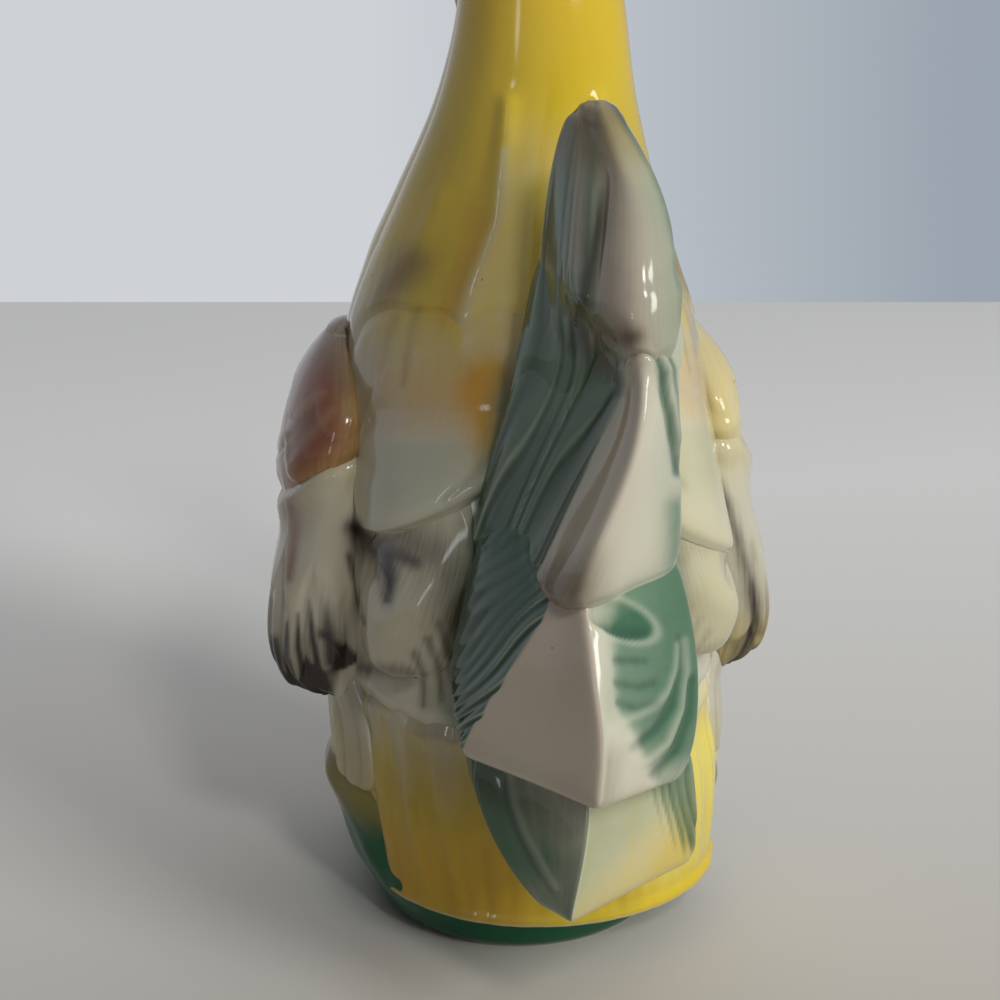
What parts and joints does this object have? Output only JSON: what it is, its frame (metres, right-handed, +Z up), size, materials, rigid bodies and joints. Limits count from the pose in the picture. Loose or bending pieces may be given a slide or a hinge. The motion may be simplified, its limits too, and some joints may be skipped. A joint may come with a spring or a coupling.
{
  "type": "ceramic rooster figurine",
  "caption": "Standing rooster figurine in glazed earthenware: fluted feather skirt on a green mound, folded wings, tall yellow neck and a stepped, keeled tail.",
  "frame": {"origin": "on the flat underside of the foot, under the trunk's axis", "axes": "+Z up; the bird faces -Y, its tail is toward +Y and its left wing toward +X"},
  "size_m": [0.088, 0.117, 0.205],
  "materials": {
    "mound_green": "gloss glaze",
    "skirt_yellow": "gloss glaze",
    "body_cream": "gloss glaze",
    "hackle_yellow": "gloss glaze",
    "head_red": "gloss glaze",
    "comb_red": "gloss glaze",
    "beak_horn": "gloss glaze",
    "wing_cream": "gloss glaze",
    "wing_bow_rust": "gloss glaze",
    "tail_green": "gloss glaze",
    "foot_yellow": "gloss glaze"
  },
  "bodies": {
    "root": {"base_mound": "mound_green", "skirt_plumage": "skirt_yellow", "body_shell": "body_cream", "neck_hackle": "hackle_yellow", "head": "head_red", "comb": "comb_red", "beak": "beak_horn", "wattle_left": "comb_red", "wattle_right": "comb_red", "wing_left": "wing_cream", "wing_right": "wing_cream", "wing_bow_left": "wing_bow_rust", "wing_bow_right": "wing_bow_rust", "saddle_left": "body_cream", "saddle_right": "body_cream", "flank_left": "body_cream", "flank_right": "body_cream", "thigh_left": "body_cream", "thigh_right": "body_cream", "tail_sickle": "tail_green", "tail_upper_plume": "tail_green", "tail_middle_plume": "tail_green", "tail_lower_plume": "tail_green", "foot_left": "foot_yellow", "foot_right": "foot_yellow"}
  },
  "joints": []
}
